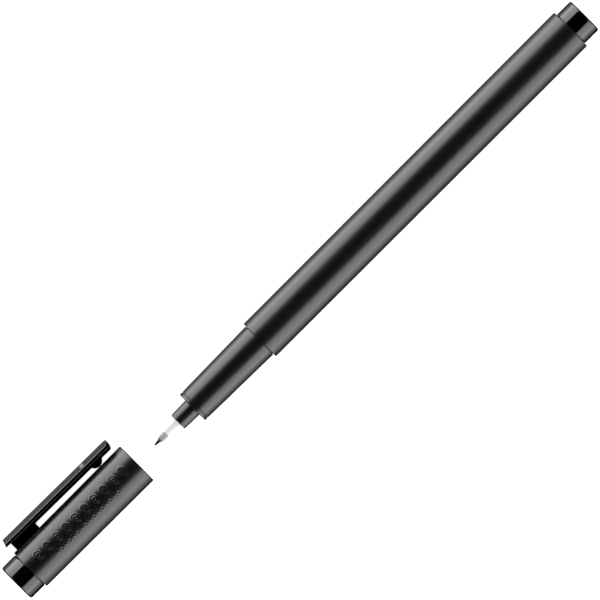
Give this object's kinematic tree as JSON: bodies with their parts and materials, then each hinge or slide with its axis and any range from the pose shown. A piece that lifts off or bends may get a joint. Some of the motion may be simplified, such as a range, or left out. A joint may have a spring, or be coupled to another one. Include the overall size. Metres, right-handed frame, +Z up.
{
  "type": "technical pen",
  "caption": "Fibre-tip drawing pen with a slim barrel, a stepped nose with a fine nib, and a pull-off cap with a pocket clip, lying with the cap drawn off in line.",
  "frame": {"origin": "middle of the footprint, on the table that the pen lies on, with the cap drawn off as pictured", "axes": "+X along the pen from its rear end towards the tip and the cap; +Z up from the table; the clip leans down towards -Y until its edge rests on the table"},
  "size_m": [0.1828, 0.0142, 0.0109],
  "materials": {
    "satin_anthracite": "satin moulded polypropylene, dark anthracite",
    "gloss_black": "polished black plastic",
    "white_plastic": "fine satin white plastic",
    "translucent_nib": "ground translucent acetal",
    "black_ink": "inked core, matt black",
    "ink_fibre": "bonded fibre soaked with black ink",
    "film": "thin clear film",
    "soft_natural": "soft natural polyethylene"
  },
  "bodies": {
    "pen": {"barrel": "satin_anthracite", "front_section": "satin_anthracite", "tip_holder": "white_plastic", "nib_sleeve": "translucent_nib", "nib_core": "black_ink", "reservoir": "ink_fibre", "reservoir_film": "film", "rear_plug": "gloss_black"},
    "cap": {"cap_body": "satin_anthracite", "cap_end_plug": "gloss_black", "inner_cap": "soft_natural", "clip_foot": "gloss_black"},
    "clip": {"clip_arm": "gloss_black"}
  },
  "joints": [
    {"name": "cap_pull", "type": "slide", "parent": "pen", "child": "cap", "axis": [1, 0, 0], "range_m": [-0.0394, 0.015]},
    {"name": "clip_flex", "type": "hinge", "parent": "cap", "child": "clip", "pos_m": [0.07822, -0.0069, 0.00204], "axis": [0, -0.3727, 0.928], "range_deg": [0, 4], "stiffness_Nm_per_rad": 0.6}
  ]
}
